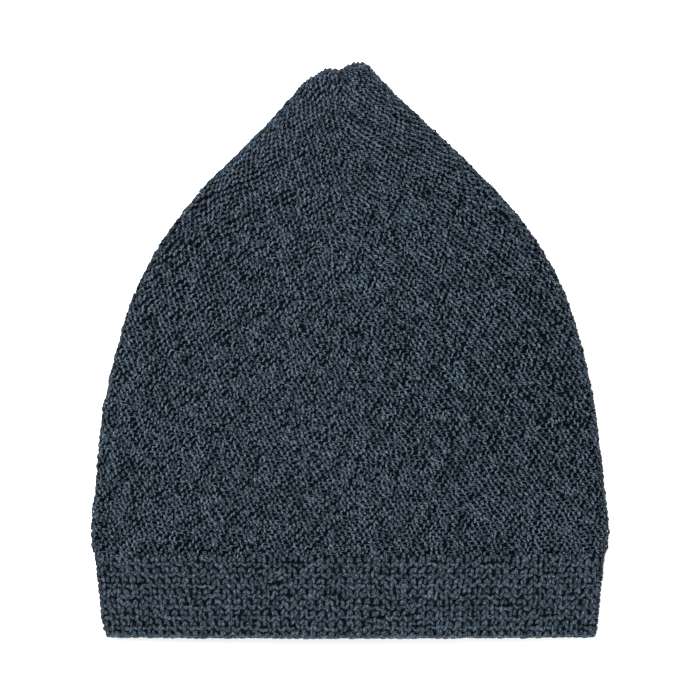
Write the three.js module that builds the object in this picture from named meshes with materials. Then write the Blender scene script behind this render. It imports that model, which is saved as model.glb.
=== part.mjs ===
// A knitted kufi: a soft brimless cap with a pointed crown and a chunkier knitted band, lying flat on its
// back layer as it does when it is put down. Units are millimetres. X runs across the cap, +Y from the opening
// to the tip and +Z up from the surface that it lies on. The origin is on that surface, mid-cap.

import * as THREE from 'three';
import { ParametricGeometry } from 'three/addons/geometries/ParametricGeometry.js';
import { mergeVertices } from 'three/addons/utils/BufferGeometryUtils.js';

// Driving dimensions
const HEIGHT = 245.5; // from the hem to the highest point of the tip
const BAND_HEIGHT = 36.5; // the band, from the hem to the join
const JOIN_GAP = 0.3; // between the band and the crown
const CROWN_WALL = 2.8; // thickness of the crown's knit
const BAND_WALL = 3.2; // thickness of the band's chunkier knit
const FOLD_RADIUS = 4.5; // outside radius of the round folds at the two sides and at the tip
const TUCK = 1.5; // how far the crown is drawn in where it meets the band
const TUCK_HEIGHT = 4.5; // the height over which it swells out again
const HEM_SAG = 0.9; // how much lower the middle of the hem hangs than its ends
const HEM_RADIUS = 1.5; // rounding of the band's lower edge
const TIP_BASE = 231.9; // the height at which the side folds turn into the edge of the tip
const TIP_START = 186; // the height at which the rows of the crown start to bend up towards that edge
const CROWN_FLOOR = BAND_HEIGHT + JOIN_GAP;
const TIP_STUFFING = 7; // how far the hollow stays below the edge of the tip, where the knit is gathered

// How finely the shapes are divided
const SLICES = 60; // points around the cap, half of them on the upper layer
const OUTER_STEP = 7.2; // height of a row of faces outside
const INNER_STEP = 13; // and inside, where the knit is only seen through the opening
const ROUND_STEPS = 4; // rows in a quarter round

const KNIT_COLOUR = 0x3b4752;
const BAND_COLOUR = 0x3e4a55;

// The flat outline: height over the hem, and how far the cap reaches to the left and right there
const BAND_OUTLINE = [
  { up: 0, left: 103.2, right: 103.8 },
  { up: 3, left: 104.5, right: 104.9 },
  { up: 8, left: 105.4, right: 105.4 },
  { up: 21, left: 106.8, right: 106.6 },
  { up: BAND_HEIGHT, left: 108.4, right: 108.2 },
];
const CROWN_OUTLINE = [
  { up: CROWN_FLOOR, left: 109.9, right: 109.8 },
  { up: 46, left: 110.0, right: 110.0 },
  { up: 69, left: 108.0, right: 107.8 },
  { up: 96, left: 105.3, right: 104.5 },
  { up: 123, left: 99.3, right: 99.1 },
  { up: 150, left: 90.5, right: 90.1 },
  { up: 164, left: 83.2, right: 82.8 },
  { up: 178, left: 73.7, right: 73.2 },
  { up: 191, left: 63.4, right: 61.8 },
  { up: 205, left: 49.3, right: 47.9 },
  { up: 218, left: 36.3, right: 33.8 },
  { up: TIP_BASE, left: 23.6, right: 19.1 },
];

// The edge of the tip: two gathered lobes with a small notch between them
const TIP_EDGE = [
  { across: -23.6, up: TIP_BASE },
  { across: -20.4, up: 235.8 },
  { across: -15.5, up: 239.5 },
  { across: -9.5, up: 242.8 },
  { across: -3.4, up: 242.6 },
  { across: 0.0, up: 244.6 },
  { across: 3.4, up: HEIGHT },
  { across: 7.4, up: 244.5 },
  { across: 11.0, up: 240.3 },
  { across: 15.3, up: 235.9 },
  { across: 19.1, up: TIP_BASE },
];

// How high the upper layer stands over the side folds, in the middle of the cap
const LOFT = [
  { up: 0, rise: 8.6 },
  { up: BAND_HEIGHT, rise: 10.2 },
  { up: 90, rise: 12.2 },
  { up: 150, rise: 12.4 },
  { up: 200, rise: 8.8 },
  { up: TIP_BASE, rise: 4.0 },
];
const LOFT_POWER = 2.2; // how flat the middle of the rise is

// Soft dents in the upper layer: where, how wide and how deep
const DENTS = [
  { across: -3.0, up: 192, radius: 15, depth: 1.2 },
  { across: 75.0, up: 151, radius: 17, depth: 1.4 },
  { across: 90.0, up: 63, radius: 14, depth: 1.0 },
  { across: -93.0, up: 49, radius: 14, depth: 1.0 },
  { across: -62.0, up: 134, radius: 20, depth: 0.8 },
];

// The groove that runs down from the notch, between the two gathered lobes of the tip
const GROOVE = { across: -3.4, up: 243, endAcross: 1.5, endUp: 224, radius: 2.6, depth: 1.7 };

// A smooth curve through the rows of a table, read at any value of its first column
function column(table, at, key) {
  const places = table.map((row) => row[at]);
  const values = table.map((row) => row[key]);
  const curve = new THREE.CubicInterpolant(places, values, 1, new Float64Array(1));
  const first = places[0];
  const last = places[places.length - 1];
  return (place) => curve.evaluate(THREE.MathUtils.clamp(place, first, last))[0];
}

const loftAt = column(LOFT, 'up', 'rise');
const tipEdgeAt = column(TIP_EDGE, 'across', 'up');
const crownReach = { left: column(CROWN_OUTLINE, 'up', 'left'), right: column(CROWN_OUTLINE, 'up', 'right') };
const bandReach = { left: column(BAND_OUTLINE, 'up', 'left'), right: column(BAND_OUTLINE, 'up', 'right') };

// How far a quarter round of this radius has risen at a distance from its edge, from 0 to 1
function roundness(distance, radius) {
  const share = THREE.MathUtils.clamp(distance / radius, 0, 1);
  return Math.sqrt(1 - (1 - share) ** 2);
}

// How far the crown is drawn in at a height, which is nothing from a little above the join
function tuckAt(up) {
  return TUCK * (1 - roundness(up - CROWN_FLOOR, TUCK_HEIGHT));
}

function grooveDepth(across, up) {
  const line = new THREE.Line3(
    new THREE.Vector3(GROOVE.across, GROOVE.up, 0),
    new THREE.Vector3(GROOVE.endAcross, GROOVE.endUp, 0),
  );
  const point = new THREE.Vector3(across, up, 0);
  const nearest = line.closestPointToPoint(point, true, new THREE.Vector3());
  return GROOVE.depth * Math.exp(-((point.distanceTo(nearest) / GROOVE.radius) ** 2));
}

function dentDepth(across, up) {
  let depth = grooveDepth(across, up);
  for (const dent of DENTS) {
    const away = Math.hypot(across - dent.across, up - dent.up) / dent.radius;
    depth += dent.depth * Math.exp(-(away ** 2));
  }
  return depth;
}

// A point on a flattened tube. around counts the points from the right fold over the upper layer to the left
// fold and back under the lower layer. inset is 0 outside and the wall's thickness inside, and closing goes
// from 1 to 0 where the two layers meet. The upper layer is raised and dented, and the lower one lies flat.
function layerPoint(around, ring, target) {
  const { up, reach, inset, tuck, sink, closing, bend, sag } = ring;
  const lean = Math.cos((Math.PI * Math.min(around, SLICES - around)) / (SLICES / 2));
  const slope = (reach.left(up + 1) - reach.left(up - 1)) / 2;
  const narrowed = inset * Math.hypot(1, slope) + tuck;
  const left = narrowed - reach.left(up);
  const right = reach.right(up) - narrowed;
  const half = (right - left) / 2;
  const across = (left + right) / 2 + half * lean;
  const toFold = half * (1 - Math.abs(lean));
  const height = up + bend * (tipEdgeAt(across) - TIP_BASE) + sag * lean ** 2;
  const radius = FOLD_RADIUS - inset;
  const round = radius * roundness(toFold, radius);
  let level = inset + radius;
  if (around < SLICES / 2) {
    const dome = loftAt(up) * (1 - Math.abs(lean) ** LOFT_POWER);
    const lowered = roundness(toFold, 3 * FOLD_RADIUS) * (sink + dentDepth(across, height));
    level += closing * (round + dome - lowered);
  } else {
    level -= closing * round;
  }
  return target.set(across, height - HEIGHT / 2, level);
}

// Heights from one to another, in equal steps of about this size, without the last
function steps(from, to, step) {
  const count = Math.max(1, Math.round(Math.abs(to - from) / step));
  return Array.from({ length: count }, (_, i) => from + ((to - from) * i) / count);
}

// Distances from an edge along a quarter round of this radius, from the edge inwards, without the last
function quarterRound(radius) {
  const turn = Math.PI / 2 / ROUND_STEPS;
  return Array.from({ length: ROUND_STEPS }, (_, i) => radius * (1 - Math.cos(turn * i)));
}

// One closed wall: rings is the list of rings of points that it runs through
function wall(rings) {
  const stacks = rings.length - 1;
  const geometry = new ParametricGeometry(
    (u, v, target) => layerPoint(Math.round(u * SLICES), rings[Math.round(v * stacks)], target),
    SLICES,
    stacks,
  );
  geometry.deleteAttribute('normal');
  geometry.deleteAttribute('uv');
  const solid = mergeVertices(geometry);
  solid.computeVertexNormals();
  return solid;
}

// A ring of the crown. Near the tip its points follow the edge of the tip, and there the two layers close
function crownRing(up, inset, top) {
  return {
    up,
    inset,
    reach: crownReach,
    tuck: tuckAt(up),
    sink: tuckAt(up),
    closing: roundness(top - up, FOLD_RADIUS - inset),
    bend: THREE.MathUtils.smoothstep(up, TIP_START, TIP_BASE),
    sag: 0,
  };
}

function crown() {
  const innerTop = TIP_BASE - TIP_STUFFING;
  const innerRadius = FOLD_RADIUS - CROWN_WALL;
  const outside = [
    ...quarterRound(FOLD_RADIUS).map((d) => TIP_BASE - d),
    ...steps(TIP_BASE - FOLD_RADIUS, CROWN_FLOOR + TUCK_HEIGHT, OUTER_STEP),
    CROWN_FLOOR + TUCK_HEIGHT,
    ...quarterRound(TUCK_HEIGHT).reverse().map((d) => CROWN_FLOOR + d),
  ];
  const inside = [
    CROWN_FLOOR,
    ...steps(CROWN_FLOOR + TUCK_HEIGHT, innerTop - innerRadius, INNER_STEP),
    innerTop - innerRadius,
    ...quarterRound(innerRadius).reverse().map((d) => innerTop - d),
  ];
  return wall([
    ...outside.map((up) => crownRing(up, 0, TIP_BASE)),
    ...inside.map((up) => crownRing(up, CROWN_WALL, innerTop)),
  ]);
}

// A ring of the band, which is open at both ends and lies as low as the crown's drawn-in edge. Its hem sags
// a little in the middle
function bandRing(up, inset) {
  return {
    up,
    inset,
    reach: bandReach,
    tuck: 0,
    sink: TUCK,
    closing: 1,
    bend: 0,
    sag: HEM_SAG * (1 - up / BAND_HEIGHT),
  };
}

function band() {
  const hem = quarterRound(HEM_RADIUS).map((up) => {
    return { up, inset: HEM_RADIUS * (1 - roundness(up, HEM_RADIUS)) };
  });
  return wall([
    ...steps(BAND_HEIGHT, HEM_RADIUS, OUTER_STEP).map((up) => bandRing(up, 0)),
    bandRing(HEM_RADIUS, 0),
    ...hem.map(({ up, inset }) => bandRing(up, inset)).reverse(),
    ...hem.map(({ up, inset }) => bandRing(up, BAND_WALL - inset)),
    ...steps(HEM_RADIUS, BAND_HEIGHT, INNER_STEP).map((up) => bandRing(up, BAND_WALL)),
    bandRing(BAND_HEIGHT, BAND_WALL),
    bandRing(BAND_HEIGHT, 0),
  ]);
}

// The assembled cap
const kufi = new THREE.Group();

function addPiece(name, geometry, colour) {
  const material = new THREE.MeshStandardMaterial({ color: colour, roughness: 0.95, metalness: 0 });
  const piece = new THREE.Mesh(geometry, material);
  piece.name = name;
  kufi.add(piece);
}

addPiece('crown', crown(), KNIT_COLOUR);
addPiece('band', band(), BAND_COLOUR);

export default kufi;
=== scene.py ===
import math

import bmesh
import bpy
import numpy as np
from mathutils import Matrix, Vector, kdtree


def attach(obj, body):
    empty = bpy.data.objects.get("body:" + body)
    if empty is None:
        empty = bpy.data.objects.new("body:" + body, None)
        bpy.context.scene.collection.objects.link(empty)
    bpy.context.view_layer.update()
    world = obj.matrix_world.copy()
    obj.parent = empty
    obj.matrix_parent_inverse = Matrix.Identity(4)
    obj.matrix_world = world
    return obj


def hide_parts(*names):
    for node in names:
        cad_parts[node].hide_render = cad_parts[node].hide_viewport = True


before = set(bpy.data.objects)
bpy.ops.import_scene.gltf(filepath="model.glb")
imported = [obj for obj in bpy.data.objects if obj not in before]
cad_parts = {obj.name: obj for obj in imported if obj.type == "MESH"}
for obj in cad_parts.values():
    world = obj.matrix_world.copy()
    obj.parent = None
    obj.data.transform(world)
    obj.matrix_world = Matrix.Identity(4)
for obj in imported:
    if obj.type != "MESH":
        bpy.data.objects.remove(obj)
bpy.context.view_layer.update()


# ---- The photograph's view ----
# The cap lies on a white ground and is seen from straight above, in soft, even light.
# A long lens looks straight down on it, and 700 pixels of the picture are 297.3 mm.
FIELD = 0.2973
LENS = 300.0
SENSOR = 36.0
FOLD_LEVEL = 0.0045

lens = bpy.data.cameras.new("camera")
lens.lens = LENS
lens.sensor_width = SENSOR
lens.clip_start = 0.01
camera = bpy.data.objects.new("camera", lens)
camera.location = (0, 0, FOLD_LEVEL + FIELD * LENS / SENSOR)
bpy.context.collection.objects.link(camera)
bpy.context.scene.camera = camera
bpy.context.scene.view_settings.view_transform = "Standard"


def lamp(name, place, target, size, power):
    """A square soft lamp at a place, turned to its target."""
    data = bpy.data.lights.new(name, "AREA")
    data.shape = "SQUARE"
    data.size = size
    data.energy = power
    made = bpy.data.objects.new(name, data)
    made.location = place
    away = Vector(target) - Vector(place)
    made.rotation_euler = away.to_track_quat("-Z", "Y").to_euler()
    bpy.context.collection.objects.link(made)


lamp("soft_top_lamp", (-0.25, 0.45, 1.3), (0, 0, 0), 0.6, 40.0)
lamp("fill_lamp", (0.5, -0.9, 0.9), (0, 0, 0), 0.9, 12.0)
world = bpy.data.worlds.new("studio")
bpy.context.scene.world = world
world.use_nodes = True
world.node_tree.nodes["Background"].inputs["Color"].default_value = (1, 1, 1, 1)
world.node_tree.nodes["Background"].inputs["Strength"].default_value = 0.95


# ---- The ground ----
# A plain white table top under the cap. It isn't part of the object.
# It is one wide, flat sheet with a matt white finish.
class Amount:
    """A number that changes over a surface. Sums and products of it add Math nodes to its
    finish."""

    def __init__(self, finish, socket):
        self.finish = finish
        self.socket = socket

    def maths(self, operation, left, right):
        """Adds a Math node that works on the two."""
        values = {0: left, 1: right}
        return self.finish.node("ShaderNodeMath", {"operation": operation}, values)[0]

    def __add__(self, other):
        return self.maths("ADD", self, other)

    def __mul__(self, other):
        return self.maths("MULTIPLY", self, other)

    def __sub__(self, other):
        return self.maths("SUBTRACT", self, other)

    def __rsub__(self, other):
        return self.maths("SUBTRACT", other, self)

    __radd__ = __add__
    __rmul__ = __mul__


class Finish:
    """A material in the making, whose nodes all come from node()."""

    def __init__(self, name):
        self.material = bpy.data.materials.new(name)
        self.material.use_nodes = True
        self.tree = self.material.node_tree
        self.tree.nodes.clear()

    def node(self, kind, settings, values):
        """Adds a node, sets it up, feeds its sockets, and returns its outputs in their order."""
        made = self.tree.nodes.new(kind)
        for name, value in settings.items():
            if name == "stops":
                ramp = made.color_ramp
                while len(ramp.elements) < len(value):
                    ramp.elements.new(0.5)
                for element, (place, colour) in zip(ramp.elements, value):
                    element.position = place
                    element.color = (*colour, 1)
            else:
                setattr(made, name, value)
        for name, value in values.items():
            if isinstance(value, Amount):
                self.tree.links.new(value.socket, made.inputs[name])
            else:
                made.inputs[name].default_value = value
        return [Amount(self, out) for out in made.outputs]

    def show(self, values):
        """Adds the surface shader with these values, and returns the finished material."""
        surface = self.node("ShaderNodeBsdfPrincipled", {}, values)[0]
        self.node("ShaderNodeOutputMaterial", {}, {"Surface": surface})
        return self.material


OBJECT_PLACE = 3   # which output of Texture Coordinate is the place on the piece


def ground_finish():
    """Matt white, very slightly uneven."""
    ground = Finish("ground_white")
    place = ground.node("ShaderNodeTexCoord", {}, {})[OBJECT_PLACE]
    noise = ground.node("ShaderNodeTexNoise", {}, {"Vector": place, "Scale": 3.0})[0]
    stops = [(0.0, (0.90, 0.90, 0.90)), (1.0, (0.93, 0.93, 0.93))]
    white = ground.node("ShaderNodeValToRGB", {"stops": stops}, {"Fac": noise})[0]
    return ground.show({"Base Color": white, "Roughness": 0.9, "Specular IOR Level": 0.1})


GROUND_REACH = 2.0
sheet = bmesh.new()
bmesh.ops.create_grid(sheet, x_segments=8, y_segments=8, size=GROUND_REACH)
ground_mesh = bpy.data.meshes.new("ground")
sheet.to_mesh(ground_mesh)
sheet.free()
ground = bpy.data.objects.new("ground", ground_mesh)
ground_mesh.materials.append(ground_finish())
bpy.context.collection.objects.link(ground)


# ---- The crown's cloth ----
# The crown is one knitted bag of slate-blue yarn, drawn in to a point with two small lobes.
# This is the knit's hollow body, which the stitches stand on. Its outside is painted shade, nearly
# black where it shows in their gaps, and inside it is bumpy yarn, with painted shade between the
# bumps, where it shows through the head opening.
MM = 0.001
HEIGHT = 245.5
CROWN_FLOOR = 36.8
TIP_BASE = 231.9
TIP_START = 186.0
FOLD_RADIUS = 4.5
TUCK = 1.5
TUCK_HEIGHT = 4.5
LOFT_POWER = 2.2
DENT_FADE = 3 * FOLD_RADIUS
CROWN_OUTLINE = [
    # (height above the hem, reach to the left, reach to the right), in mm
    (36.8, 109.9, 109.8),
    (46.0, 110.0, 110.0),
    (69.0, 108.0, 107.8),
    (96.0, 105.3, 104.5),
    (123.0, 99.3, 99.1),
    (150.0, 90.5, 90.1),
    (164.0, 83.2, 82.8),
    (178.0, 73.7, 73.2),
    (191.0, 63.4, 61.8),
    (205.0, 49.3, 47.9),
    (218.0, 36.3, 33.8),
    (231.9, 23.6, 19.1),
]
TIP_EDGE = [
    # (across, height above the hem), in mm
    (-23.6, 231.9),
    (-20.4, 235.8),
    (-15.5, 239.5),
    (-9.5, 242.8),
    (-3.4, 242.6),
    (0.0, 244.6),
    (3.4, 245.5),
    (7.4, 244.5),
    (11.0, 240.3),
    (15.3, 235.9),
    (19.1, 231.9),
]
LOFT = [
    # (height above the hem, how far the top layer stands above the side folds), in mm
    (0.0, 8.6),
    (36.5, 10.2),
    (90.0, 12.2),
    (150.0, 12.4),
    (200.0, 8.8),
    (231.9, 4.0),
]
DENTS = [
    # (across, height above the hem, radius, depth), in mm
    (-3.0, 192.0, 15.0, 1.2),
    (75.0, 151.0, 17.0, 1.4),
    (90.0, 63.0, 14.0, 1.0),
    (-93.0, 49.0, 14.0, 1.0),
    (-62.0, 134.0, 20.0, 0.8),
]
GROOVE_TOP = (-3.4, 243.0)
GROOVE_END = (1.5, 224.0)
GROOVE_RADIUS = 2.6
GROOVE_DEPTH = 1.7


def through(table, column, at):
    """The smooth curve through one column of a table, held level beyond its ends."""
    rows = np.array(table)
    places, values = rows[:, 0], rows[:, column]
    slopes = np.gradient(values, places)
    at = np.clip(at, places[0], places[-1])
    low = np.clip(np.searchsorted(places, at, "right") - 1, 0, len(places) - 2)
    width = places[low + 1] - places[low]
    share = (at - places[low]) / width
    rest = 1 - share
    ends = values[low] * (1 + 2 * share) * rest**2
    ends = ends + values[low + 1] * (1 + 2 * rest) * share**2
    return ends + width * share * rest * (slopes[low] * rest - slopes[low + 1] * share)


def smoothly(value, low, high):
    """0 below low, 1 above high, and a soft step between them."""
    share = np.clip((value - low) / (high - low), 0, 1)
    return share * share * (3 - 2 * share)


def roundness(distance, radius):
    """The height of a quarter circle, as a share of its radius, at a distance from its edge."""
    share = np.clip(distance / radius, 0, 1)
    return np.sqrt(1 - (1 - share) ** 2)


def dent_depth(across, up):
    """How far the top layer is pressed in, by the soft dents and the groove under the notch."""
    depth = 0 * across
    for x, y, radius, deep in DENTS:
        away = np.hypot(across - x, up - y) / radius
        depth = depth + deep * np.exp(-(away**2))
    way = np.subtract(GROOVE_END, GROOVE_TOP)
    share = ((across - GROOVE_TOP[0]) * way[0] + (up - GROOVE_TOP[1]) * way[1]) / (way @ way)
    share = np.clip(share, 0, 1)
    away = np.hypot(across - GROOVE_TOP[0] - share * way[0], up - GROOVE_TOP[1] - share * way[1])
    return depth + GROOVE_DEPTH * (1 - share) * np.exp(-((away / GROOVE_RADIUS) ** 2))


def layer(up, around, inset, reach, narrow, sink, closing, bend, sag):
    """Points of the folded cap, in mm. around runs from the right fold over the top layer to the
    left fold at pi, and under the cap back to 2 pi. inset is the depth under the outside, and
    reach the table of the outline. narrow and sink draw it in at the sides and on top, closing
    is the share of its thickness near the tip, bend how far it follows the tip's edge, and sag
    how much further down its middle reaches than its sides."""
    lean = np.cos(around)
    slope = through(reach, 1, up + 1) - through(reach, 1, up - 1)
    narrowed = inset * np.hypot(1, slope / 2) + narrow
    left = narrowed - through(reach, 1, up)
    right = through(reach, 2, up) - narrowed
    half = (right - left) / 2
    across = (left + right) / 2 + half * lean
    to_fold = half * (1 - abs(lean))
    height = up + bend * (through(TIP_EDGE, 1, across) - TIP_BASE) + sag * lean**2
    radius = FOLD_RADIUS - inset
    bulge = radius * roundness(to_fold, radius)
    dome = through(LOFT, 1, up) * (1 - abs(lean) ** LOFT_POWER)
    lowered = roundness(to_fold, DENT_FADE) * (sink + dent_depth(across, height))
    on_top = np.sin(around) > 0
    level = inset + radius + closing * np.where(on_top, bulge + dome - lowered, -bulge)
    return np.stack([across, height - HEIGHT / 2, level], -1)


def crown_layer(up, around, inset):
    """Points of the crown at a depth under its outside."""
    tuck = TUCK * (1 - roundness(up - CROWN_FLOOR, TUCK_HEIGHT))
    closing = roundness(TIP_BASE - inset - up, FOLD_RADIUS - inset)
    bend = smoothly(up, TIP_START, TIP_BASE)
    return layer(up, around, inset, CROWN_OUTLINE, tuck, tuck, closing, bend, 0.0)


CLOTH_INSET = 1.15
CLOTH_WALL = 1.4
CLOTH_SLICES = 160
WELD = 1e-5


def knit_shell(name, rings, place):
    """A hollow cloth piece: a ring of points is extruded from one height to the next, and the
    shell gets its wall inwards. place gives the points of a ring. The faces inside get the
    piece's second material."""
    cloth = bmesh.new()
    turn = cloth.verts.layers.float.new("around")
    ring = bmesh.ops.create_circle(cloth, segments=CLOTH_SLICES, radius=1)["verts"]
    for vert in ring:
        vert[turn] = math.atan2(vert.co.y, vert.co.x)
    edges = list(cloth.edges)
    for number, up in enumerate(rings):
        if number:
            grown = bmesh.ops.extrude_edge_only(cloth, edges=edges)["geom"]
            ring = [part for part in grown if isinstance(part, bmesh.types.BMVert)]
            edges = [part for part in grown if isinstance(part, bmesh.types.BMEdge)]
            edges = [edge for edge in edges if edge.verts[0] in ring and edge.verts[1] in ring]
        points = place(up, np.array([vert[turn] for vert in ring])) * MM
        for vert, point in zip(ring, points):
            vert.co = point
    bmesh.ops.remove_doubles(cloth, verts=cloth.verts, dist=WELD)
    bmesh.ops.recalc_face_normals(cloth, faces=cloth.faces)
    bmesh.ops.solidify(cloth, geom=cloth.faces, thickness=CLOTH_WALL * MM)
    bmesh.ops.recalc_face_normals(cloth, faces=cloth.faces)
    for face in cloth.faces:
        face.smooth = True
        middle = face.calc_center_median() / MM
        beside = math.copysign(min(abs(middle.x), FOLD_RADIUS), middle.x)
        out = Vector((beside, 0, middle.z - FOLD_RADIUS))
        face.material_index = int(face.normal.dot(out) < 0)
    mesh = bpy.data.meshes.new(name)
    cloth.to_mesh(mesh)
    cloth.free()
    made = bpy.data.objects.new(name, mesh)
    bpy.context.collection.objects.link(made)
    return made


def gap_shade_finish(name, dark, light):
    """Painted shade for the yarn deep in the gaps: nearly black, with a fine, uneven grain."""
    gap = Finish(name)
    place = gap.node("ShaderNodeTexCoord", {}, {})[OBJECT_PLACE]
    noise = gap.node("ShaderNodeTexNoise", {}, {"Vector": place, "Scale": 700.0, "Detail": 3.0})[0]
    stops = [(0.35, dark), (0.7, light)]
    colour = gap.node("ShaderNodeValToRGB", {"stops": stops}, {"Fac": noise})[0]
    bump = gap.node("ShaderNodeBump", {}, {"Strength": 0.5, "Distance": 0.0004, "Height": noise})[0]
    return gap.show(
        {"Base Color": colour, "Normal": bump, "Roughness": 0.95, "Specular IOR Level": 0.0}
    )


def inside_finish(name, size, dark, light):
    """The wrong side of the knit: bumps of yarn, size mm apart, with painted shade, nearly black,
    in the hollows between them, up to lighter tops.
    """
    inside = Finish(name)
    place = inside.node("ShaderNodeTexCoord", {}, {})[OBJECT_PLACE]
    grain = {"Vector": place, "Scale": 1500.0, "Detail": 2.0}
    fluff = inside.node("ShaderNodeTexNoise", {}, grain)[0]
    bumps = inside.node("ShaderNodeTexVoronoi", {}, {"Vector": place, "Scale": 1 / (size * MM)})[0]
    height = 1 - bumps + (fluff - 0.5) * 0.6
    stops = [(0.2, dark), (0.9, light)]
    colour = inside.node("ShaderNodeValToRGB", {"stops": stops}, {"Fac": height})[0]
    relief = {"Strength": 0.8, "Distance": 0.0006, "Height": height}
    bump = inside.node("ShaderNodeBump", {}, relief)[0]
    return inside.show(
        {"Base Color": colour, "Normal": bump, "Roughness": 0.9, "Specular IOR Level": 0.05}
    )


# the heights of the cloth's rings, closer together where it closes at the tip
crown_rings = [*np.linspace(CROWN_FLOOR, 215, 60), *np.linspace(217, TIP_BASE - CLOTH_INSET, 14)]
crown_cloth = knit_shell(
    "crown_cloth", crown_rings, lambda up, around: crown_layer(up, around, CLOTH_INSET)
)
# the first finish is painted shade, nearly black, for the gaps between the stitches; the second is
# the bumpy inside
crown_cloth.data.materials.append(
    gap_shade_finish("crown_gap_shade", (0.0007, 0.0011, 0.0016), (0.003, 0.0044, 0.006))
)
# painted shade, nearly black, in the hollows between the inside's bumps, and the colour of their tops
INSIDE_HOLLOW_SHADE = (0.003, 0.0045, 0.0065)
INSIDE_LIGHT = (0.06, 0.084, 0.11)
crown_cloth.data.materials.append(inside_finish("crown_inside", 2.3, INSIDE_HOLLOW_SHADE, INSIDE_LIGHT))
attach(crown_cloth, "root")
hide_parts("crown")


# ---- The crown's stitches ----
# Each stitch shows as one short, S-shaped turn of marled yarn between dark gaps. They stand in
# courses, each stitch over the gap between two below. The courses slope down from both sides, and
# meet at a line under the tip.
PITCH = 2.53
RISE = 1.51
YARN_INSET = 0.62
TURN_STEPS = 420
COLUMN_STEP = 0.5   # between the columns of a flat knit's tables, in mm
ROW_STEP = 0.9      # between their rows
SLOPE_STEP = 0.4    # over which a flat knit's directions are measured
FLAT_REACH = 222
RING_ROUNDS = 16    # the rounds in which the ring through a place is found
RING_SHARE = 0.7    # and the share of what is missing that each of them adds
NEAR_ENOUGH = 0.5
NO_LENGTH = 1e-9
SOFTENING = 0.03    # keeps steps on the flat knit small where it hardly grows on the cap


def unit(vectors):
    """The directions of vectors, each with a length of 1."""
    return vectors / np.maximum(np.linalg.norm(vectors, axis=-1, keepdims=True), NO_LENGTH)


def unrolled(place, ups):
    """The knit laid out flat: tables of a layer's points by height and by the way across it,
    in mm."""
    ways = np.arange(-FLAT_REACH, FLAT_REACH + 0.1, COLUMN_STEP)
    rows = []
    for up in ups:
        sides = []
        for turn in (-1, 1):
            around = np.pi / 2 + turn * np.linspace(0, np.pi, TURN_STEPS)
            points = place(up, around)
            steps = np.hypot(np.diff(points[:, 0]), np.diff(points[:, 2]))
            sides.append((np.cumsum([0, *steps]), points))
        (right_way, right), (left_way, left) = sides
        middle = right[0, 0] * np.sign(right[1, 0] - right[0, 0])
        way = middle + np.concatenate([-left_way[:0:-1], right_way])
        points = np.concatenate([left[:0:-1], right])
        rows.append(np.stack([np.interp(ways, way, points[:, axis]) for axis in range(3)], -1))
    return ways, np.array(rows)


class Knit:
    """A layer of knit laid out flat, that gives back where a place on it lies on the cap."""

    def __init__(self, place, low, high):
        self.ups = np.arange(low, high + 0.01, ROW_STEP)
        self.ways, self.points = unrolled(place, self.ups)
        along = np.gradient(self.points, axis=1)
        up = np.gradient(self.points, axis=0)
        self.outward = unit(np.cross(along, up))

    def look_up(self, table, way, up):
        """What a table holds at each place, blended between its rows and columns."""
        row = np.clip((up - self.ups[0]) / (self.ups[1] - self.ups[0]), 0, len(self.ups) - 1.001)
        column = np.clip((way - self.ways[0]) / COLUMN_STEP, 0, len(self.ways) - 1.001)
        low, left = row.astype(int), column.astype(int)
        upper, right = (row - low)[..., None], (column - left)[..., None]
        near = table[low, left] * (1 - right) + table[low, left + 1] * right
        far = table[low + 1, left] * (1 - right) + table[low + 1, left + 1] * right
        return near * (1 - upper) + far * upper

    def ring_height(self, way, height):
        """The ring, by its height at the fold, that passes a place at this height."""
        up = np.array(height, float)
        for _ in range(RING_ROUNDS):
            found = self.look_up(self.points, way, up)
            up = up + RING_SHARE * (height - (found[..., 1] + HEIGHT / 2))
        return np.clip(up, self.ups[0], self.ups[-1])

    def reaches(self, way, height):
        """Whether the knit goes as far as a place, or ends before it."""
        found = self.look_up(self.points, way, self.ring_height(way, height))
        return abs(found[..., 1] + HEIGHT / 2 - height) < NEAR_ENOUGH

    def place(self, way, height, rise):
        """Where a place on the flat knit lies, raised by rise, and which way is out of the knit."""
        up = self.ring_height(way, height)
        outward = unit(self.look_up(self.outward, way, up))
        return self.look_up(self.points, way, up) + rise[..., None] * outward, outward

    def frame(self, spots, tilt):
        """At each place on the flat knit: its point on the cap, the directions along its course
        and up from it, and the matrix that turns steps in those directions into steps on the
        flat knit. tilt is how far a course runs down to the right, in degrees."""
        way, height = spots[:, 0], spots[:, 1]
        level = 0 * way
        point = self.place(way, height, level)[0]
        steps = (SLOPE_STEP, -SLOPE_STEP)
        right, left = [self.place(way + step, height, level)[0] for step in steps]
        above, below = [self.place(way, height + step, level)[0] for step in steps]
        sideways = (right - left) / (2 * SLOPE_STEP)
        upward = (above - below) / (2 * SLOPE_STEP)
        tilt = np.radians(tilt)[:, None]
        along = sideways * np.cos(tilt) - upward * np.sin(tilt)
        across = np.cross(np.cross(sideways, upward), along)
        axes = np.stack([unit(along), unit(across)], 1)
        flat = np.stack([sideways, upward], -1)
        back = np.swapaxes(flat, 1, 2)
        metric = back @ flat + SOFTENING * np.eye(2)
        return point, axes, np.linalg.solve(metric, back @ np.swapaxes(axes, 1, 2))


LOWEST = CROWN_FLOOR - 2.4
HIGHEST = TIP_BASE - YARN_INSET - 0.05
crown_knit = Knit(lambda up, around: crown_layer(up, around, YARN_INSET), LOWEST, HIGHEST)
LEAN_STEP = 8.0


def edge_lean(height):
    """How far the cap's side leans in from upright, in degrees, at a height above the hem."""
    low, high = np.asarray(height) - LEAN_STEP, np.asarray(height) + LEAN_STEP
    inward = through(CROWN_OUTLINE, 1, low) - through(CROWN_OUTLINE, 1, high)
    return np.degrees(np.arctan(inward / (2 * LEAN_STEP)))


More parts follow.
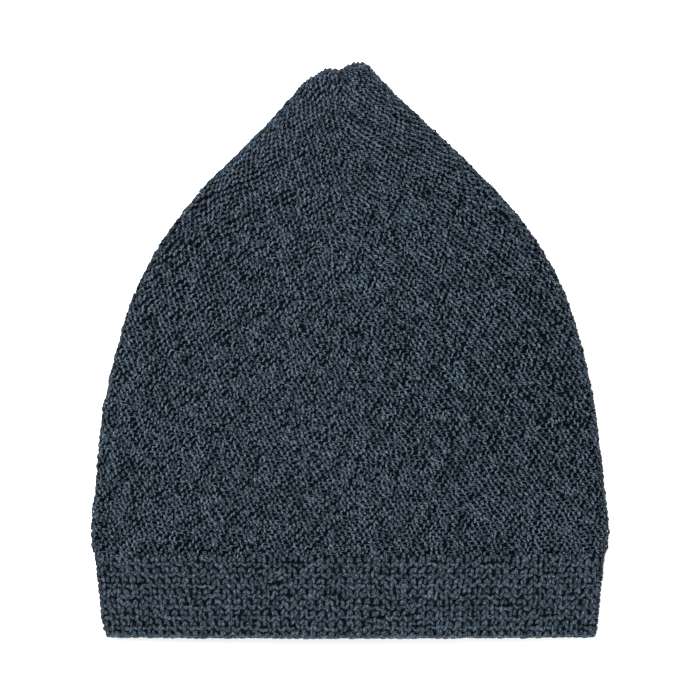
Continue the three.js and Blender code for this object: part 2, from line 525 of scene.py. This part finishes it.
def course_slope(across, height):
    """The courses' tilt in degrees: down to the right on the left of the crown, up on its right.
    Near the tip it grows with the lean of the side, and the two meet in a soft line that moves
    from the right to the middle on the way up."""
    share = np.clip(across / through(CROWN_OUTLINE, 2, height), -1.1, 1.1)
    edge = edge_lean(height)
    high = smoothly(height, 95.0, 185.0)
    left = 11.0 + 5.0 * high + np.maximum(edge - 15.0, 0) * share**2 * high
    right = 3.0 + 12.0 * smoothly(height, 50.0, 185.0)
    right = right + np.maximum(edge - 17.0, 0) * share**2 * high
    soft = 3.0 + 27.0 * (1 - smoothly(height, 95.0, 185.0))
    middle = -2.0 + 25.0 * (1 - smoothly(height, 60.0, 130.0))
    side = smoothly(across, middle - soft, middle + soft)
    return left * (1 - side) - right * side


def apart(order, wanted, distance):
    """The wanted places in a row, lowest order first, that lie more than a distance apart."""
    chosen = []
    for number in sorted(np.flatnonzero(wanted), key=lambda number: order[number]):
        if all(abs(number - other) > distance for other in chosen):
            chosen.append(number)
    return np.array(chosen, int)


COURSE_REACH = 135.0
CROWDED = 0.84      # stitches closer together than this share of the pitch lose one
GAPING = 1.3        # and those further apart than this one get one more
BETWEEN_CHANGES = 3
CURVE_ROUNDS = 4
START_BELOW = 0.4   # courses slope, so the first start lower and the last end higher than the
END_ABOVE = 0.5     # crown, by these shares of the reach


def courses(low, high, slope, anchor):
    """Stitches course by course on the flat knit: each new stitch stands over the middle of two
    below, and one is dropped or added where they come too close or too far apart. slope is the
    courses' tilt, and anchor where across the knit their heights are counted."""
    reach = COURSE_REACH
    ways = np.arange(-reach, reach + 0.5, 1.0)
    middle = np.argmin(abs(ways - anchor))

    def curve(height):
        """A course's height above the hem all along it, from its height at the anchor."""
        path = np.full(len(ways), float(height))
        for _ in range(CURVE_ROUNDS):
            fall = -np.tan(np.radians(slope(ways, path)))
            total = np.concatenate([[0], np.cumsum((fall[1:] + fall[:-1]) / 2 * np.diff(ways))])
            path = height + total - total[middle]
        return path

    spots = np.arange(-reach, reach, PITCH)
    height = low - START_BELOW * reach
    found = []
    while height < high + END_ABOVE * reach:
        up = np.interp(spots, ways, curve(height))
        found.append(np.stack([spots, up], -1))
        tilt = np.radians(slope(spots, up))
        here = np.radians(float(slope(np.array([anchor]), np.array([height]))[0]))
        height += RISE / math.cos(here)
        across = (spots[1:] + spots[:-1]) / 2 + RISE * np.sin((tilt[1:] + tilt[:-1]) / 2)
        gaps = np.diff(across)
        close = apart(gaps, gaps < CROWDED * PITCH, BETWEEN_CHANGES)
        wide = apart(-gaps, gaps > GAPING * PITCH, BETWEEN_CHANGES)
        spots = np.concatenate([np.delete(across, close + 1), (across[wide] + across[wide + 1]) / 2])
        for end in (spots.min(), spots.max()):
            if abs(end) < reach - PITCH:
                spots = np.append(spots, end + np.sign(end) * PITCH)
        spots = np.sort(spots)
    return np.concatenate(found)


YARN_RISE = 0.85      # how high a turn of yarn is for a width of 1
TIP_LENGTH = 0.7      # how far its pointed ends stand out, for a half width of 1
LOWEST_YARN = 0.02    # the cap's own weight flattens the yarn that it lies on, to this height
OWN_NUMBERS = 97      # the turns' own numbers start again after this many


def yarn_mesh(name, paths, thick, outward, sides, shade):
    """One mesh of many short turns of yarn. paths has the points of each, thick their half
    widths, outward the directions out of the knit, and shade how light the yarn is along each: a
    random tone, with painted shade where the yarn dips at its ends."""
    count, steps, _ = paths.shape
    along = unit(np.gradient(paths, axis=1))
    beside = unit(np.cross(along, outward))
    above = np.cross(beside, along)
    turn = 2 * np.pi * (np.arange(sides) + 0.5) / sides
    ring = np.sin(turn)[:, None] * beside[:, :, None]
    ring = ring + YARN_RISE * np.cos(turn)[:, None] * above[:, :, None]
    tube = paths[:, :, None] + ring * thick[..., None, None]
    start = paths[:, 0] - along[:, 0] * thick[:, :1] * TIP_LENGTH
    end = paths[:, -1] + along[:, -1] * thick[:, -1:] * TIP_LENGTH
    verts = np.concatenate([tube.reshape(count, steps * sides, 3), np.stack([start, end], 1)], 1)
    verts[..., 2] = np.maximum(verts[..., 2], LOWEST_YARN)
    around = np.arange(sides)
    after = (around + 1) % sides
    walls = []
    for low in range(0, (steps - 1) * sides, sides):
        high = low + sides
        walls.append(np.stack([low + around, low + after, high + after, high + around], -1))
    walls = np.concatenate(walls)
    last = (steps - 1) * sides
    caps = np.concatenate([
        np.stack([after, around, np.full(sides, steps * sides)], -1),
        np.stack([last + around, last + after, np.full(sides, steps * sides + 1)], -1),
    ])
    first = (np.arange(count) * verts.shape[1])[:, None, None]
    corners = np.concatenate([(walls + first).reshape(-1), (caps + first).reshape(-1)])
    sizes = np.concatenate([np.full(count * len(walls), 4), np.full(count * len(caps), 3)])
    mesh = bpy.data.meshes.new(name)
    mesh.vertices.add(count * verts.shape[1])
    mesh.vertices.foreach_set("co", (verts * MM).astype(np.float32).ravel())
    mesh.loops.add(len(corners))
    mesh.loops.foreach_set("vertex_index", corners.astype(np.int32))
    mesh.polygons.add(len(sizes))
    starts = np.concatenate([[0], np.cumsum(sizes)[:-1]])
    mesh.polygons.foreach_set("loop_start", starts.astype(np.int32))
    mesh.polygons.foreach_set("use_smooth", np.ones(len(sizes), bool))
    # the attribute holds each turn's random tone, and painted shade at its sunk ends
    tone = mesh.attributes.new("tone", "FLOAT", "POINT")
    each = np.concatenate([np.repeat(shade, sides, 1), shade[:, :1], shade[:, -1:]], 1)
    tone.data.foreach_set("value", each.astype(np.float32).ravel())
    strand = mesh.attributes.new("strand", "FLOAT_VECTOR", "POINT")
    length = np.linalg.norm(np.diff(paths, axis=1), axis=-1).cumsum(1)
    length = np.repeat(np.concatenate([0 * length[:, :1], length], 1), sides, 1)
    sideways = np.tile(np.sin(turn), (count, steps))
    own = np.repeat(np.arange(count) % OWN_NUMBERS, verts.shape[1]).reshape(count, -1)
    length = np.concatenate([length, length[:, :1], length[:, -1:]], 1)
    sideways = np.concatenate([sideways, 0 * sideways[:, :2]], 1)
    each = np.stack([sideways, length, own], -1)
    strand.data.foreach_set("vector", each.astype(np.float32).ravel())
    mesh.update(calc_edges=True)
    mesh.validate()
    made = bpy.data.objects.new(name, mesh)
    bpy.context.collection.objects.link(made)
    return made


ATTRIBUTE_VECTOR, ATTRIBUTE_NUMBER = 1, 2   # which outputs of Attribute these are


def yarn_finish(name, colours, fibres, edge):
    """Marled slate-blue yarn: each turn has its own tone, with painted shade at its sunk ends, and
    lighter and darker fibres that wind along it. strand is the place on the yarn: sideways, along in
    mm, and the number of the turn. fibres is how fine they are, and edge how much painted shade
    darkens the sides of a turn."""
    yarn = Finish(name)
    place = yarn.node("ShaderNodeTexCoord", {}, {})[OBJECT_PLACE]
    tone = yarn.node("ShaderNodeAttribute", {"attribute_name": "tone"}, {})[ATTRIBUTE_NUMBER]
    strand = yarn.node("ShaderNodeAttribute", {"attribute_name": "strand"}, {})[ATTRIBUTE_VECTOR]
    side, along, own = yarn.node("ShaderNodeSeparateXYZ", {}, {"Vector": strand})
    winding = {"X": side * fibres + along * 0.35, "Y": along * 0.5, "Z": own * 3.7}
    wound = yarn.node("ShaderNodeCombineXYZ", {}, winding)[0]
    fibre = yarn.node("ShaderNodeTexNoise", {}, {"Vector": wound, "Scale": 1.0, "Detail": 1.0})[0]
    fluff = yarn.node("ShaderNodeTexNoise", {}, {"Vector": place, "Scale": 1800.0, "Detail": 1.0})[0]
    cloud = yarn.node("ShaderNodeTexNoise", {}, {"Vector": place, "Scale": 60.0, "Detail": 2.0})[0]
    # the tone holds painted shade at the turns' sunk ends, and the last term paints shade on their
    # sides
    mix = tone + (fibre - 0.5) * 1.6 + (fluff - 0.5) * 2.1 + (cloud - 0.5) * 0.12 - side * side * edge
    stops = list(zip((0.0, 0.5, 1.0), colours))
    colour = yarn.node("ShaderNodeValToRGB", {"stops": stops}, {"Fac": mix})[0]
    relief = {"Strength": 0.6, "Distance": 0.0002, "Height": fibre + fluff}
    bump = yarn.node("ShaderNodeBump", {}, relief)[0]
    return yarn.show(
        {"Base Color": colour, "Normal": bump, "Roughness": 0.8, "Specular IOR Level": 0.07}
    )


draw = np.random.default_rng(20)
# the yarn's ramp from dark to light: its nearly black first stop is painted shade, reached at the
# turns' sunk ends and sides and in their darkest fibres
CROWN_COLOURS = [(0.0012, 0.0021, 0.0031), (0.0186, 0.028, 0.0393), (0.0655, 0.091, 0.119)]
crown_yarn = yarn_finish("crown_yarn", CROWN_COLOURS, 1.3, 0.42)
DRIFT_WAVES = 24
FOLD_EXTRA = 0.57 * FOLD_RADIUS   # a quarter of the round fold is this much longer than wide
LAYER_EXTRA = 1.2                 # and this much is added by the rise of the layer, in mm


def drift(places, size, low, high, seed):
    """A slow, random wander over the knit: size is its usual amount, low and high its wave
    lengths in mm."""
    waves = np.random.default_rng(seed)
    total = np.zeros(len(places))
    for _ in range(DRIFT_WAVES):
        turn = waves.uniform(0, 2 * np.pi)
        number = 2 * np.pi / waves.uniform(low, high)
        along = places[:, 0] * math.cos(turn) + places[:, 1] * math.sin(turn)
        total += np.sin(number * along + waves.uniform(0, 7))
    return size * total / math.sqrt(DRIFT_WAVES / 2)


def fold_way(height):
    """The way across the knit from its middle to the side fold, at a height."""
    up = np.clip(height, CROWN_FLOOR, TIP_BASE)
    half = (through(CROWN_OUTLINE, 1, up) + through(CROWN_OUTLINE, 2, up)) / 2
    return half + FOLD_EXTRA + LAYER_EXTRA


TURN = [
    # one stitch's yarn: across and up from its middle, height over the knit, half width, in mm
    (0.28, -0.96, 0.02, 0.51),
    (0.20, -0.36, 0.20, 0.59),
    (-0.20, 0.36, 0.20, 0.59),
    (-0.28, 0.96, 0.02, 0.51),
]
LINK = (-0.08, 0.46)   # height and half width of the yarn halfway between two stitches
PULLED = [
    # places where the knit is pulled aside: across, height above the hem, radius, more lean
    (-78.0, 88.0, 24.0, 14.0),
    (-28.0, 72.0, 30.0, -20.0),
    (60.0, 85.0, 38.0, -10.0),
    (-10.0, 172.0, 22.0, -6.0),
]
DRAWN_LINE = [
    # the line of drawn-in stitches that runs down from the notch: height above the hem, across
    (203.0, 6.0),
    (222.0, 1.5),
    (243.0, -2.2),
]


def turned(spots, flatten, lean, reach, across, up):
    """Places on the flat knit, from places in each stitch's own frame, lengthened by reach and
    turned clockwise by lean."""
    lean = np.radians(lean)[:, None]
    across, up = across * reach[:, None], up * reach[:, None]
    sideways = across * np.cos(lean) + up * np.sin(lean)
    upward = up * np.cos(lean) - across * np.sin(lean)
    steps = np.stack([sideways, upward], -1)
    places = spots[:, None] + np.einsum("nij,nkj->nki", flatten, steps)
    return places[..., 0], places[..., 1]


def nearby(points, wanted, number):
    """The numbers of the points nearest to each wanted place."""
    tree = kdtree.KDTree(len(points))
    for place, point in enumerate(points):
        tree.insert(point, place)
    tree.balance()
    return np.array([[found[1] for found in tree.find_n(place, number)] for place in wanted])


LOWEST_STITCH = CROWN_FLOOR - 1.4


def covered(spots, knit, margin):
    """Which places lie on the knit, as far past the side folds as margin."""
    inside = (abs(spots[:, 0]) < fold_way(spots[:, 1]) + margin) & (spots[:, 1] > LOWEST_STITCH)
    return inside & knit.reaches(spots[:, 0], spots[:, 1])


NEIGHBOURS = 8
FRESH_LOOK = 4       # the neighbours are looked for again after this many rounds
PUSH = 0.27
PUSH_REACH = 1.5     # stitches push each other up to this share of the pitch
PUSH_LIMIT = 0.3
STRETCH = 0.87 * PITCH / RISE


def settled(spots, slope, knit, margin, rounds):
    """The stitches after they push each other apart, so that none crowd and no hole stays."""
    for turn in range(rounds):
        if turn % FRESH_LOOK == 0:
            points, axes, flatten = knit.frame(spots, slope(spots[:, 0], spots[:, 1]))
            others = nearby(points, points, NEIGHBOURS + 1)[:, 1:]
        points = knit.place(spots[:, 0], spots[:, 1], 0 * spots[:, 0])[0]
        away = np.einsum("nkj,nij->nki", points[:, None] - points[others], axes) * (1, STRETCH)
        distance = np.maximum(np.linalg.norm(away, axis=-1), 0.1)
        push = PUSH * np.clip(PUSH_REACH - distance / PITCH, 0, 1) ** 2 * PITCH / distance
        push = (push[..., None] * away).sum(1) / (1, STRETCH)
        push = np.clip(push, -PUSH_LIMIT, PUSH_LIMIT)
        moved = spots + np.einsum("nij,nj->ni", flatten, push)
        spots = np.where(covered(moved, knit, margin)[:, None], moved, spots)
    return spots


# the six stitches round a stitch, in pitches and rises
AROUND_STITCH = np.array([(1, 0), (0.5, 1), (-0.5, 1), (-1, 0), (-0.5, -1), (0.5, -1)])
HOLE = 0.55 * PITCH
CROWD = 0.47 * PITCH


def evened(spots, slope, knit, margin):
    """The stitches with one more in each hole, and one less where two crowd."""
    points, axes, flatten = knit.frame(spots, slope(spots[:, 0], spots[:, 1]))
    steps = AROUND_STITCH * (PITCH, RISE)
    beside = (points[:, None] + np.einsum("kj,nji->nki", steps, axes)).reshape(-1, 3)
    flat = (spots[:, None] + np.einsum("nij,kj->nki", flatten, steps)).reshape(-1, 2)
    found = points[nearby(points, beside, 1)[:, 0]]
    empty = (np.linalg.norm(found - beside, axis=-1) > HOLE) & covered(flat, knit, margin)
    added = []
    for hole in np.flatnonzero(empty):
        if all(math.dist(beside[hole], beside[other]) > HOLE for other in added):
            added.append(hole)
    gone = set()
    for one, other in nearby(points, points, 2):
        if one not in gone and other not in gone and math.dist(points[one], points[other]) < CROWD:
            gone.add(other)
    return np.concatenate([np.delete(spots, sorted(gone), 0), flat[added]])


SETTLE_ROUNDS = (8, 12, 12, 12)
LAST_ROUNDS = 12


def stitch_places(slope, knit, anchor, margin):
    """Where the stitches of one layer of the crown stand."""
    spots = courses(CROWN_FLOOR, HEIGHT, slope, anchor)
    spots = spots[covered(spots, knit, margin)]
    for rounds in SETTLE_ROUNDS:
        spots = evened(settled(spots, slope, knit, margin, rounds), slope, knit, margin)
    return settled(spots, slope, knit, margin, LAST_ROUNDS)


def linked_turns(spots, tilt, lean, reach, raised, knit, shape, link):
    """The centre lines of the stitches: each is S-shaped, from the middle of the link to the stitch
    at its lower left, up its own turn, to the middle of the link to the one at its upper right."""
    count = len(spots)
    points, axes, flatten = knit.frame(spots, tilt)
    step = np.array([PITCH / 2, RISE])
    wanted = points + np.einsum("j,nji->ni", step, axes)
    upper = nearby(points, wanted, 1)[:, 0]
    miss = np.linalg.norm(points[upper] - wanted, axis=-1)
    joined = miss < 0.5 * PITCH
    lower = np.full(count, -1)
    order = np.argsort(-miss)
    order = order[joined[order]]
    lower[upper[order]] = order
    half = np.einsum("nij,j->ni", flatten, step / 2)
    last = spots + np.where(joined[:, None], (spots[upper] - spots) / 2, half)
    first = spots + np.where((lower >= 0)[:, None], (spots[lower] - spots) / 2, -half)
    way, height = turned(spots, flatten, lean, reach, shape[..., 0], shape[..., 1])
    way = np.concatenate([first[:, :1], way, last[:, :1]], 1)
    height = np.concatenate([first[:, 1:], height, last[:, 1:]], 1)
    low = np.full((count, 1), link[0])
    lift = np.concatenate([low, shape[..., 2] + np.zeros((count, 1)), low], 1) + raised[:, None]
    return knit.place(way, height, lift)


def knitted(name, paths, thick, outward, sides, shade, finish, material_slot):
    """A mesh of stitches that rides on the cap. sides is how many sides the yarn has."""
    made = yarn_mesh(name, paths, thick, outward, sides, shade)
    made.data.materials.append(finish)
    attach(made, "root")


# the front's stitches go 9 mm past the side folds, and its courses are counted at 8 mm to the left
FRONT_MARGIN = 9.0
FRONT_ANCHOR = -8.0
LEAN = -11.0
spots = stitch_places(course_slope, crown_knit, FRONT_ANCHOR, FRONT_MARGIN)
loose = 1 - 0.5 * smoothly(spots[:, 1], 180.0, 212.0)   # the stitches lie more evenly near the tip
wander = np.stack([drift(spots, 0.3, 7.0, 20.0, 1), drift(spots, 0.3, 7.0, 20.0, 2)], -1)
spots = spots + (wander + draw.normal(0, 0.24, spots.shape)) * loose[:, None]
tilt = course_slope(spots[:, 0], spots[:, 1]) + drift(spots, 5.0, 9.0, 26.0, 3) * loose
count = len(spots)
line_heights, line_places = zip(*DRAWN_LINE)
to_line = spots[:, 0] - np.interp(spots[:, 1], line_heights, line_places)
drawn_in = np.exp(-((to_line / 2.0) ** 2)) * smoothly(spots[:, 1], 196.0, 215.0)
lean = LEAN - 14.0 * drawn_in + draw.normal(0, 19, count) * loose
for across, up, radius, more in PULLED:
    lean = lean + more * np.exp(-(np.hypot(spots[:, 0] - across, spots[:, 1] - up) / radius) ** 2)
reach = draw.normal(1.0, 0.13, count) + 0.35 * drawn_in
at_fold = smoothly(abs(spots[:, 0]) - fold_way(spots[:, 1]), -6.0, -3.0)
raised = draw.normal(0, 0.12, count) * (1 + 0.8 * at_fold)
raised = raised + drift(spots, 0.06, 5.0, 12.0, 4) + 0.3 * drawn_in
shape = np.array(TURN) * np.ones((count, 1, 1))
slants = draw.normal(1, 0.5, count)[:, None]
shape[..., 0] = shape[..., 0] * slants + draw.normal(0, 0.09, (count, 4))
paths, outward = linked_turns(spots, tilt, lean, reach, raised, crown_knit, shape, LINK)
widths = np.array([LINK[1], *[row[3] for row in TURN], LINK[1]])
thick = widths * draw.normal(1, 0.1, count)[:, None]
# painted shade: the links at both ends, which dip under the next stitches, are darker than the turn's
# middle
FRONT_SHADE = np.array([0.27, 0.46, 0.58, 0.58, 0.46, 0.27])
shade = FRONT_SHADE + draw.normal(0, 0.09, count)[:, None]
FRONT_PARTS = [
    # (name, lowest and highest place above the hem, in mm)
    ("crown_stitches_low", 0.0, 80.0),
    ("crown_stitches_middle", 80.0, 122.0),
    ("crown_stitches_high", 122.0, 165.0),
    ("crown_stitches_top", 165.0, HEIGHT),
]
for name, low, high in FRONT_PARTS:
    chosen = (spots[:, 1] > low) & (spots[:, 1] <= high)
    lines = paths[chosen], thick[chosen], outward[chosen]
    knitted(name, *lines, 4, shade[chosen], crown_yarn, "crown_knit")


# ---- The crown's back ----
# The same knit on the layer that the cap lies on, hidden in the photograph.
# Its stitches are plainer, and run square to the side folds.
def back_slope(across, height):
    """The tilt of the back's courses, seen from outside, in degrees."""
    share = np.clip(across / through(CROWN_OUTLINE, 2, height), -1.1, 1.1)
    return -edge_lean(height) * share * abs(share)


# the back's stitches stop 8.5 mm before the side folds, which the front's go round
BACK_MARGIN = -8.5
BACK_TURN = np.array([(0.2, -0.62, 0.02, 0.58), (-0.2, 0.62, 0.02, 0.58)])   # as for TURN
BACK_WIDTHS = np.array([0.42, 0.58, 0.58, 0.42])
# painted shade: the links at both ends, which dip under the next stitches, are darker than the middle
BACK_SHADE = np.array([0.26, 0.54, 0.54, 0.26])
back_knit = Knit(lambda up, around: crown_layer(up, around + np.pi, YARN_INSET), LOWEST, HIGHEST)
spots = stitch_places(back_slope, back_knit, 0.0, BACK_MARGIN)
spots = spots + draw.normal(0, 0.16, spots.shape)
tilt = back_slope(spots[:, 0], spots[:, 1])
count = len(spots)
lean = LEAN + draw.normal(0, 9, count)
raised = draw.normal(0, 0.06, count)
reach = draw.normal(1, 0.07, count)
paths, outward = linked_turns(spots, tilt, lean, reach, raised, back_knit, BACK_TURN, LINK)
thick = BACK_WIDTHS * draw.normal(1, 0.06, count)[:, None]
shade = BACK_SHADE + draw.normal(0, 0.09, count)[:, None]
for name, low, high in (("back_stitches_low", 0.0, 105.0), ("back_stitches_high", 105.0, HEIGHT)):
    chosen = (spots[:, 1] > low) & (spots[:, 1] <= high)
    lines = paths[chosen], thick[chosen], outward[chosen]
    knitted(name, *lines, 3, shade[chosen], crown_yarn, "crown_knit")


# ---- The tip's edge ----
# Along the two lobes the knit turns over from the front to the back.
# One row of stitches lies across the edge there, and closes it.
TIP_LIMIT = 233.0
TIP_SPACING = 1.75
TIP_SLANT = 0.012
EDGE_STEPS = 3000


def evenly(place, up, last, spacing):
    """Angles round a ring, from 0 to last, that lie evenly along it."""
    around = np.linspace(0, last, EDGE_STEPS)
    steps = np.linalg.norm(np.diff(place(up, around), axis=0), axis=-1)
    along = np.concatenate([[0], np.cumsum(steps)])
    return np.interp(np.arange(spacing / 2, along[-1], spacing), along, around)


def over_edge(place, around, crossing, slant):
    """Lines across an edge: crossing has (height of the ring, whether it is the front's side of
    it) for each of their points."""
    lines = []
    for number, (up, front) in enumerate(crossing):
        angle = around + slant * (number - (len(crossing) - 1) / 2)
        lines.append(place(up, angle if front else 2 * np.pi - angle))
    return np.stack(lines, 1)


TIP_CROSSING = [(HIGHEST - 2.0, True), (HIGHEST - 0.9, True), (HIGHEST - 0.1, True)]
TIP_CROSSING += [(HIGHEST - 0.1, False), (HIGHEST - 0.9, False), (HIGHEST - 2.0, False)]


def crown_edge(up, around):
    """The crown's points where its yarn lies."""
    return crown_layer(up, around, YARN_INSET)


TIP_WIDTHS = np.array([0.5, 0.66, 0.62, 0.62, 0.6, 0.5])
# painted shade: both ends, where the yarn goes down into the knit, are darker than the middle
TIP_SHADE = np.array([0.34, 0.5, 0.52, 0.5, 0.5, 0.34])
around = evenly(crown_edge, HIGHEST, np.pi, TIP_SPACING)
around = around[crown_edge(HIGHEST, around)[:, 1] > TIP_LIMIT - HEIGHT / 2]
around = around + draw.normal(0, 0.012, len(around))
paths = over_edge(crown_edge, around, TIP_CROSSING, TIP_SLANT)
paths = paths + draw.normal(0, 0.12, (len(paths), 1, 3))
along = np.gradient(paths, axis=1)
outward = paths - paths.mean(1, keepdims=True) + np.array([0, -0.8, 0])
outward = unit(np.cross(along, np.cross(outward, along)))
thick = TIP_WIDTHS * draw.normal(1, 0.12, len(paths))[:, None]
shade = TIP_SHADE + draw.normal(0, 0.12, len(paths))[:, None]
knitted("tip_edge", paths, thick, outward, 6, shade, crown_yarn, "crown_knit")


# ---- The band's cloth ----
# The band is knitted in one with the crown, with the yarn held double, and is a little narrower.
# This is its hollow body, painted shade, nearly black, between the stitches, bumpy inside with
# painted shade between the bumps, and open at both ends.
BAND_HEIGHT = 36.5
HEM_SAG = 0.9
BAND_OUTLINE = [
    # (height above the hem, reach to the left, reach to the right), in mm
    (0.0, 103.2, 103.8),
    (3.0, 104.5, 104.9),
    (8.0, 105.4, 105.4),
    (21.0, 106.8, 106.6),
    (36.5, 108.4, 108.2),
]


def band_layer(up, around, inset):
    """Points of the band at a depth under its outside."""
    sag = HEM_SAG * (1 - up / BAND_HEIGHT)
    return layer(up, around, inset, BAND_OUTLINE, 0.0, TUCK, 1.0, 0.0, sag)


# the cloth's last ring tucks in under the crown's cloth
band_cloth = knit_shell(
    "band_cloth",
    [*np.linspace(1.8, BAND_HEIGHT, 16), BAND_HEIGHT + 0.8],
    lambda up, around: band_layer(up, around, CLOTH_INSET + 0.5 * (up > BAND_HEIGHT)),
)
# the first finish is painted shade, nearly black, for the gaps between the stitches; the second is
# the bumpy inside
band_cloth.data.materials.append(
    gap_shade_finish("band_gap_shade", (0.0008, 0.0013, 0.0018), (0.0035, 0.005, 0.0068))
)
band_cloth.data.materials.append(inside_finish("band_inside", 2.9, INSIDE_HOLLOW_SHADE, INSIDE_LIGHT))
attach(band_cloth, "root")
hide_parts("band")


# ---- The band's stitches ----
# The band's knit is chunkier than the crown's, in the same slate-blue yarn. Its cells stand in
# rows and columns, and each has four fat, leaning turns of yarn round a dark eyelet.
CELL_WIDTH = 3.82
CELL_HEIGHT = 4.48
BAND_TURN = np.array([
    # across and up from the turn's middle, height over the knit, half width, in mm
    (0.22, -1.32, -0.12, 0.60),
    (0.16, -0.46, 0.12, 0.98),
    (-0.16, 0.46, 0.12, 0.98),
    (-0.22, 1.32, -0.12, 0.60),
])
CELL_TURNS = [
    # across and up from the cell's eyelet, lean, length, depth, share of light yarn
    (1.32, 0.05, 42.0, 1.0, 0.0, 0.46),
    (-1.32, -0.05, 12.0, 0.95, 0.04, 0.45),
    (0.86, 2.26, 50.0, 1.08, -0.04, 0.47),
    (-0.86, 2.34, -30.0, 1.02, 0.06, 0.45),
]
# the yarn's ramp from dark to light: its nearly black first stop is painted shade, reached at the
# turns' sunk ends and sides and in their darkest fibres
BAND_COLOURS = [(0.0012, 0.002, 0.003), (0.0186, 0.0274, 0.0378), (0.06, 0.083, 0.108)]
band_yarn = yarn_finish("band_yarn", BAND_COLOURS, 2.6, 0.42)
BAND_ROWS = 9
FIRST_ROW = 2.6
LAST_TURN = BAND_HEIGHT - 1.2
LOWEST_LINE = 1.4
# painted shade: a turn's ends, which dip into the knit, are darker than its middle
BAND_END_SHADE = np.array([0.76, 1, 1, 0.76])   # how light a turn's ends are, for a middle of 1
FRONT_REACH = 113.0
BACK_REACH = 99.0


def band_stitches(name, knit, reach, sides):
    """The stitches of one layer of the band, as far across as reach. The columns lean a little
    towards the sides of the cap."""
    cells = []
    for row in range(BAND_ROWS):
        across = np.arange(-reach, reach, CELL_WIDTH)
        shift = 0.9 * smoothly(-across, 0.0, 80.0) - 0.4 * smoothly(across, 20.0, 90.0)
        up = np.full(len(across), FIRST_ROW + CELL_HEIGHT * row)
        cells.append(np.stack([across - shift * row, up], -1))
    cells = np.concatenate(cells)
    cells = cells + np.stack([drift(cells, 0.3, 7.0, 26.0, 5), drift(cells, 0.36, 7.0, 26.0, 6)], -1)
    cells = cells + draw.normal(0, 0.12, cells.shape)
    paths, thick, outward, shade = [], [], [], []
    for across, up, tilt, length, depth, light in CELL_TURNS:
        spots = cells + (across, up) + draw.normal(0, 0.15, cells.shape)
        spots = spots[spots[:, 1] < LAST_TURN]
        count = len(spots)
        lean = tilt + drift(spots, 8.0, 8.0, 25.0, 7) + draw.normal(0, 15, count)
        lean = lean - 18.0 * smoothly(-spots[:, 0], 30.0, 90.0)
        flatten = knit.frame(spots, 0 * lean)[2]
        size = draw.normal(length, 0.08, count)
        way, height = turned(spots, flatten, lean, size, BAND_TURN[:, 0], BAND_TURN[:, 1])
        height = np.maximum(height, LOWEST_LINE)
        rise = BAND_TURN[:, 2] - depth + draw.normal(0, 0.12, count)[:, None]
        line, out = knit.place(way, height, rise)
        paths.append(line)
        outward.append(out)
        thick.append(BAND_TURN[:, 3] * draw.normal(1, 0.08, count)[:, None])
        shade.append(light * BAND_END_SHADE + draw.normal(0, 0.07, count)[:, None])
    lines = [np.concatenate(part) for part in (paths, thick, outward)]
    knitted(name, *lines, sides, np.concatenate(shade), band_yarn, "band_knit")


BAND_TOP = BAND_HEIGHT + 1.8
band_knit = Knit(lambda up, around: band_layer(up, around, YARN_INSET), 0.0, BAND_TOP)
band_back = Knit(lambda up, around: band_layer(up, around + np.pi, YARN_INSET), 0.0, BAND_TOP)
band_stitches("band_stitches", band_knit, FRONT_REACH, 6)
band_stitches("band_back_stitches", band_back, BACK_REACH, 4)


# ---- The hem's edge ----
# The last row is cast off: a chain of slanting turns of yarn along the open end of the cap.
# Each turn leans over the start of the next, on both layers and round the folds.
HEM_TURN = np.array([
    # as for BAND_TURN
    (-2.7, -0.25, -0.30, 0.45),
    (-1.4, -0.10, 0.16, 0.68),
    (1.2, 0.30, 0.30, 0.70),
    (2.7, 0.95, -0.20, 0.45),
])
# painted shade: both ends, which dip under the neighbouring turns, are darker than the middle
HEM_SHADE = np.array([0.4, 0.56, 0.58, 0.4])
HEM_PITCH = 3.3
HEM_LEVEL = 1.35


def hem_stitches(name, knit, reach, sides):
    """The cast-off edge of one layer, as far across as reach."""
    across = np.arange(-reach, reach, HEM_PITCH)
    spots = np.stack([across, np.full(len(across), HEM_LEVEL)], -1)
    spots = spots + draw.normal(0, 0.08, spots.shape)
    count = len(spots)
    flatten = np.eye(2) * np.ones((count, 1, 1))
    lean, size = draw.normal(0, 3, count), draw.normal(1, 0.05, count)
    way, height = turned(spots, flatten, lean, size, HEM_TURN[:, 0], HEM_TURN[:, 1])
    line, out = knit.place(way, height, HEM_TURN[:, 2] + draw.normal(0, 0.05, count)[:, None])
    thick = HEM_TURN[:, 3] * draw.normal(1, 0.06, count)[:, None]
    shade = HEM_SHADE + draw.normal(0, 0.08, count)[:, None]
    knitted(name, line, thick, out, sides, shade, band_yarn, "band_knit")


# the yarn that turns in over the rim: height above the hem, depth under the outside, how far it
# faces from the inside of the rim to its outside, half width, share of light yarn, lower at both
# ends as painted shade where the yarn goes into the knit
RIM_CROSSING = np.array([
    (2.3, 0.90, 1.0, 0.50, 0.30),
    (1.5, 0.85, 1.0, 0.68, 0.45),
    (1.2, 1.50, 0.2, 0.72, 0.50),
    (1.5, 2.30, -1.0, 0.68, 0.45),
    (2.5, 2.50, -1.0, 0.50, 0.30),
])
RIM_LEVEL = 0.8
RIM_SPACING = 1.7
TO_HEM = np.array([0, -1.0, 0])
around = evenly(lambda up, turn: band_layer(up, turn, YARN_INSET), RIM_LEVEL, 2 * np.pi, RIM_SPACING)
around = around + draw.normal(0, 0.002, len(around))
paths = np.stack([band_layer(up, around, depth) for up, depth in RIM_CROSSING[:, :2]], 1)
outward = TO_HEM + (paths[:, :1] - paths[:, -1:]) * RIM_CROSSING[:, 2, None]
thick = RIM_CROSSING[:, 3] * draw.normal(1, 0.08, len(paths))[:, None]
shade = RIM_CROSSING[:, 4] + draw.normal(0, 0.1, len(paths))[:, None]
knitted("hem_rim", paths, thick, outward, 5, shade, band_yarn, "band_knit")
hem_stitches("hem_edge", band_knit, FRONT_REACH, 5)
hem_stitches("hem_back_edge", band_back, BACK_REACH, 4)
